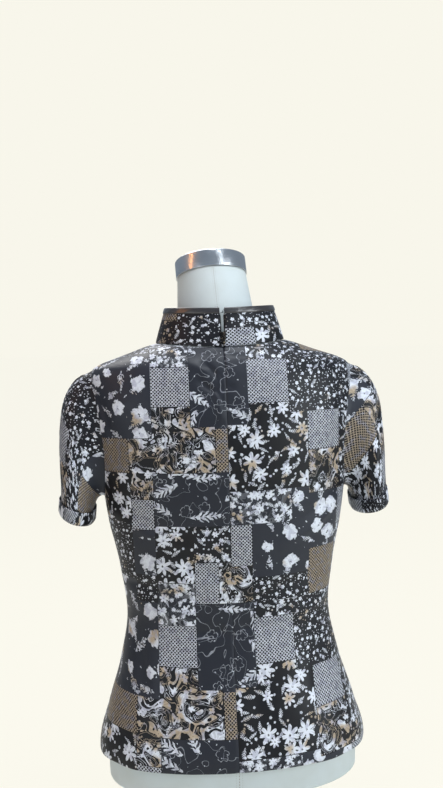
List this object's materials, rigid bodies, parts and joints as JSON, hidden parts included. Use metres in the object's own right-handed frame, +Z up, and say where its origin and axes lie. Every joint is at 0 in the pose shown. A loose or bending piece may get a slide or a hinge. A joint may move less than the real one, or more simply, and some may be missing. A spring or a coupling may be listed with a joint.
{
  "type": "qipao top on a dress form",
  "caption": "Short-sleeved qipao top with a bound stand collar and a back zip, worn by a limbless dress form on a short stand.",
  "frame": {"origin": "centre of the bounding box at its lowest plane, where the stand's base rests", "axes": "+Z up, the garment's front faces -Y, its centre back with the zip faces +Y, the wearer's left is +X"},
  "size_m": [0.454, 0.3, 0.8337],
  "materials": {
    "print": "glossy black satin with a patchwork print of white and grey flowers, sprigs and fine checks",
    "satin": "black satin bias binding with a soft sheen",
    "tape": "matt black woven zip tape",
    "black_metal": "gloss black enamel",
    "linen": "pale woven linen cover",
    "brushed_metal": "brushed around"
  },
  "bodies": {
    "worn_top": {"back_left": "print", "back_right": "print", "front": "print", "sleeve_left": "print", "sleeve_right": "print", "collar": "print", "collar_binding": "satin", "zip_tape_left": "tape", "zip_tape_right": "tape", "zip_slider": "black_metal", "collar_hook": "black_metal", "collar_eye": "black_metal", "form_torso": "linen", "neck_cap": "brushed_metal", "stand_pole": "brushed_metal", "stand_base": "brushed_metal"},
    "pull_tab": {"zip_pull": "black_metal"}
  },
  "joints": [
    {"name": "pull_swing", "type": "hinge", "parent": "worn_top", "child": "pull_tab", "pos_m": [0, 0.06398, 0.71381], "axis": [1, 0, 0], "range_deg": [0, 140]}
  ]
}
